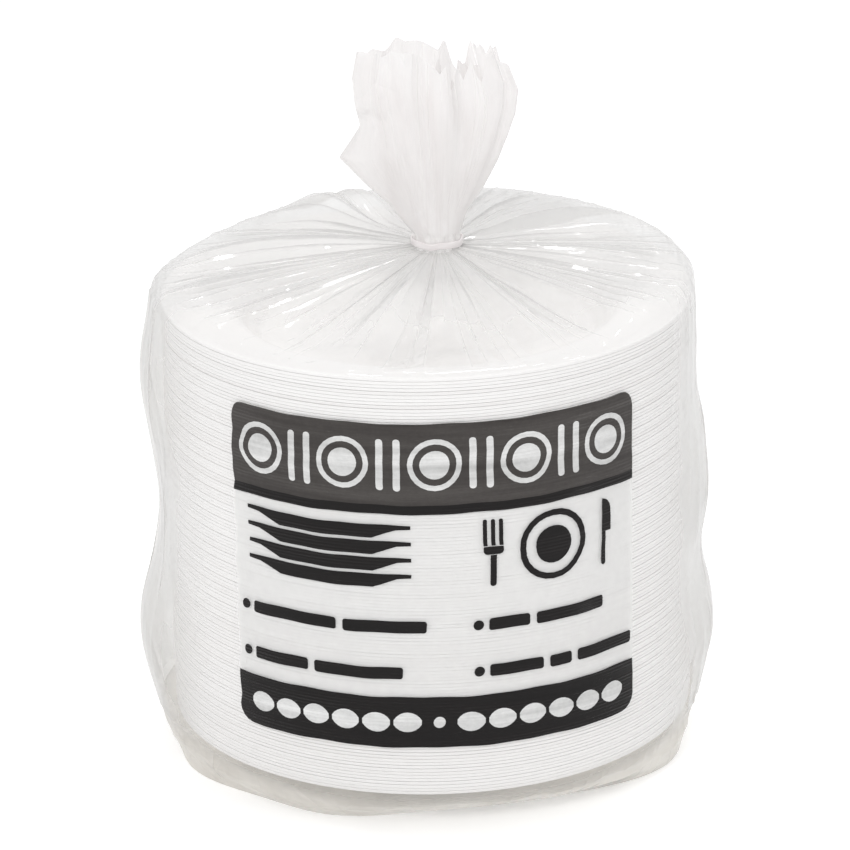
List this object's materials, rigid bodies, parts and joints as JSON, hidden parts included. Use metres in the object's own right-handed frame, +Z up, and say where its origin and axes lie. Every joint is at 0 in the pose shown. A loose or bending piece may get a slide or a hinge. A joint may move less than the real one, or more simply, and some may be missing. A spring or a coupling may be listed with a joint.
{
  "type": "bagged stack of plastic plates",
  "caption": "Stack of nested round white plastic plates in a clear film bag, gathered and tied above the stack, with printed colour fields on the front.",
  "frame": {"origin": "on the floor, at the centre of the flat base of the bag, on the axis of the stack", "axes": "+Z up along the axis of the stack, towards the tied neck; -Y is the printed front; +X is to the right seen from the front"},
  "size_m": [0.1681, 0.1613, 0.2104],
  "materials": {
    "plate_plastic": "white formed polystyrene sheet, soft gloss",
    "bag_film": "clear, slightly hazy polyethylene film with glossy creases",
    "tie_band": "pale translucent band",
    "ink_haze": "thin translucent white ink",
    "ink_grey": "dark grey ink under glossy film",
    "ink_black": "black ink under glossy film",
    "ink_silver": "pale ink under glossy film"
  },
  "bodies": {
    "root": {"plates_001_005": "plate_plastic", "plates_006_010": "plate_plastic", "plates_011_015": "plate_plastic", "plates_016_020": "plate_plastic", "plates_021_025": "plate_plastic", "plates_026_030": "plate_plastic", "plates_031_035": "plate_plastic", "plates_036_040": "plate_plastic", "plates_041_045": "plate_plastic", "plates_046_050": "plate_plastic", "plates_051_055": "plate_plastic", "plates_056_060": "plate_plastic", "plates_061_065": "plate_plastic", "plates_066_070": "plate_plastic", "plates_071_075": "plate_plastic", "plates_076_080": "plate_plastic", "plates_081_085": "plate_plastic", "plates_086_090": "plate_plastic", "plates_091_095": "plate_plastic", "plates_096_100": "plate_plastic", "plates_101_105": "plate_plastic", "plates_106_110": "plate_plastic", "plates_111_115": "plate_plastic", "plates_116_120": "plate_plastic", "plates_121_125": "plate_plastic", "bag": "bag_film", "bag_mouth": "bag_film", "neck_tie": "tie_band", "print_panel": "ink_haze", "print_header": "ink_grey", "print_header_shapes": "ink_silver", "print_stripe": "ink_black", "print_pictures": "ink_black", "print_lines": "ink_black", "print_footer": "ink_black", "print_footer_shapes": "ink_silver"}
  },
  "joints": []
}
